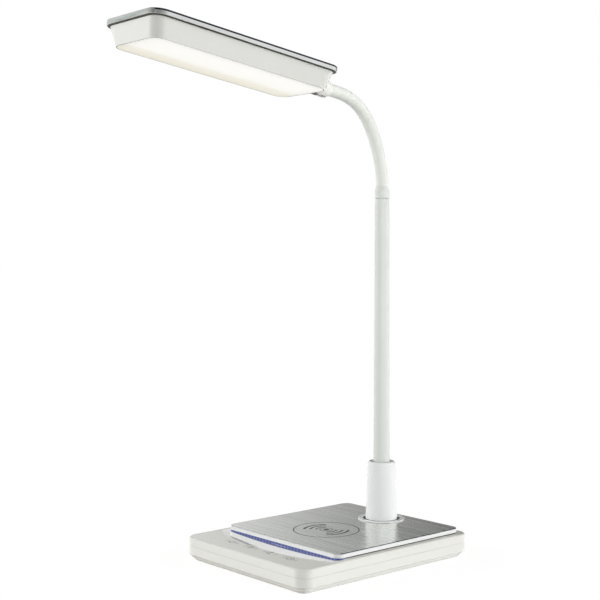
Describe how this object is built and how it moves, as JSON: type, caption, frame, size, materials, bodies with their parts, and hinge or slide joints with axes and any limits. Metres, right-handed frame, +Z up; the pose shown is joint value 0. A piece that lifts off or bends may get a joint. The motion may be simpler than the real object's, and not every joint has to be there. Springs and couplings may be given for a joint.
{
  "type": "led desk lamp",
  "caption": "Desk lamp with a wireless charging base, a tapered post and stem on a swivel, a flexible neck and a slim tilting LED head.",
  "frame": {"origin": "on the desk, under the centre of the base", "axes": "+Z up, -Y from the post at the back to the touch keys at the front, which is also the way the head points, and +X to the right of someone who sits in front of the lamp and faces +Y"},
  "size_m": [0.16, 0.3084, 0.4541],
  "materials": {
    "white_shell": "satin white moulded shell",
    "white_gloss": "polished white",
    "painted_tube": "satin light grey-white paint",
    "neck_sleeve": "soft matte light grey-white sleeve over a metal hose",
    "lid_metal": "brushed along the head",
    "plate_film": "brushed metal look",
    "dark_rubber": "matte",
    "dark_plastic": "matte black",
    "dark_bracket": "dark brown",
    "steel": "plain steel",
    "weight_iron": "bare plate",
    "board": "circuit board",
    "copper": "enamelled copper",
    "ferrite": "matte sintered",
    "slide_plastic": "slippery natural plastic",
    "clear_guide": "clear, polished",
    "opal_face": "opal, lit warm white",
    "blue_light": "clear, lit blue"
  },
  "bodies": {
    "base": {"anti_slip_pad": "dark_rubber", "lower_case": "white_shell", "upper_case": "white_shell", "case_screw_1": "steel", "case_screw_2": "steel", "case_screw_3": "steel", "case_screw_4": "steel", "counterweight": "weight_iron", "charging_slab": "white_gloss", "brushed_sheet": "plate_film", "post_trim_ring": "white_gloss", "light_line": "blue_light", "light_line_board": "board", "charging_coil": "copper", "coil_ferrite": "ferrite", "coil_carrier": "slide_plastic", "charger_board": "board", "touch_board": "board", "touch_film": "copper", "power_inlet": "dark_plastic", "swivel_bracket": "steel", "carrier_screw_left": "steel", "carrier_screw_right": "steel", "bracket_screw_left": "steel", "bracket_screw_right": "steel"},
    "post": {"post_socket": "white_gloss", "slide_washer": "slide_plastic", "friction_washer": "slide_plastic", "swivel_shaft": "steel", "swivel_nut": "steel", "stem_tube": "painted_tube", "neck_ferrule": "painted_tube"},
    "link_01": {"neck_link_01": "neck_sleeve"},
    "link_02": {"neck_link_02": "neck_sleeve"},
    "link_03": {"neck_link_03": "neck_sleeve"},
    "link_04": {"neck_link_04": "neck_sleeve"},
    "link_05": {"neck_link_05": "neck_sleeve"},
    "link_06": {"neck_link_06": "neck_sleeve"},
    "link_07": {"neck_link_07": "neck_sleeve"},
    "link_08": {"neck_link_08": "neck_sleeve"},
    "link_09": {"neck_link_09": "neck_sleeve"},
    "link_10": {"neck_link_10": "neck_sleeve"},
    "neck_end": {"neck_end_link": "neck_sleeve", "head_coupler": "white_shell", "tilt_pin": "steel"},
    "head": {"metal_lid": "lid_metal", "lid_gasket": "dark_rubber", "head_housing": "white_shell", "diffuser": "opal_face", "light_guide": "clear_guide", "led_strip_left": "board", "led_strip_right": "board", "reflector_sheet": "white_gloss", "heat_spreader": "lid_metal", "tilt_bracket": "dark_bracket", "foot_screw_left": "steel", "foot_screw_right": "steel"}
  },
  "joints": [
    {"name": "post_swivel", "type": "hinge", "parent": "base", "child": "post", "pos_m": [0, 0.0673, 0], "axis": [0, 0, 1], "range_deg": [-90, 90]},
    {"name": "neck_bend", "type": "hinge", "parent": "post", "child": "link_01", "pos_m": [0, 0.0673, 0.3362], "axis": [1, 0, 0], "range_deg": [-14, 4.9]},
    {"name": "neck_sway", "type": "hinge", "parent": "link_01", "child": "link_02", "pos_m": [0, 0.06617, 0.34654], "axis": [0, 0.9941, 0.1089], "range_deg": [-15, 15]},
    {"name": "neck_bend_3", "type": "hinge", "parent": "link_02", "child": "link_03", "pos_m": [0, 0.06403, 0.35672], "axis": [1, 0, 0], "range_deg": [-15.6, 5.5]},
    {"name": "neck_sway_4", "type": "hinge", "parent": "link_03", "child": "link_04", "pos_m": [0, 0.06103, 0.36667], "axis": [0, 0.9574, 0.2887], "range_deg": [-15, 15]},
    {"name": "neck_bend_5", "type": "hinge", "parent": "link_04", "child": "link_05", "pos_m": [0, 0.05722, 0.37635], "axis": [1, 0, 0], "range_deg": [-17.2, 6.1]},
    {"name": "neck_sway_6", "type": "hinge", "parent": "link_05", "child": "link_06", "pos_m": [0, 0.05254, 0.38564], "axis": [0, 0.8931, 0.4499], "range_deg": [-15, 15]},
    {"name": "neck_bend_7", "type": "hinge", "parent": "link_06", "child": "link_07", "pos_m": [0, 0.04677, 0.39429], "axis": [1, 0, 0], "range_deg": [-20.2, 7.1]},
    {"name": "neck_curl_8", "type": "hinge", "parent": "link_07", "child": "link_08", "pos_m": [0, 0.03964, 0.40186], "axis": [1, 0, 0], "range_deg": [-18.5, 6.5]},
    {"name": "neck_curl", "type": "hinge", "parent": "link_08", "child": "link_09", "pos_m": [0, 0.0311, 0.4078], "axis": [1, 0, 0], "range_deg": [-19.1, 6.7]},
    {"name": "neck_curl_10", "type": "hinge", "parent": "link_09", "child": "link_10", "pos_m": [0, 0.02149, 0.41177], "axis": [1, 0, 0], "range_deg": [-15.1, 5.3]},
    {"name": "neck_curl_11", "type": "hinge", "parent": "link_10", "child": "neck_end", "pos_m": [0, 0.01134, 0.41406], "axis": [1, 0, 0], "range_deg": [-7.8, 2.8]},
    {"name": "head_tilt", "type": "hinge", "parent": "neck_end", "child": "head", "pos_m": [0, -0.01145, 0.41716], "axis": [1, 0, 0], "range_deg": [-30, 45]}
  ],
  "couplings": [
    {"joint": "neck_bend_3", "follows": "neck_bend", "ratio": 1.1136},
    {"joint": "neck_bend_5", "follows": "neck_bend", "ratio": 1.2273},
    {"joint": "neck_bend_7", "follows": "neck_bend", "ratio": 1.4409},
    {"joint": "neck_curl_8", "follows": "neck_curl", "ratio": 0.967},
    {"joint": "neck_curl_10", "follows": "neck_curl", "ratio": 0.787},
    {"joint": "neck_curl_11", "follows": "neck_curl", "ratio": 0.407},
    {"joint": "neck_sway_4", "follows": "neck_sway", "ratio": 1},
    {"joint": "neck_sway_6", "follows": "neck_sway", "ratio": 1}
  ]
}
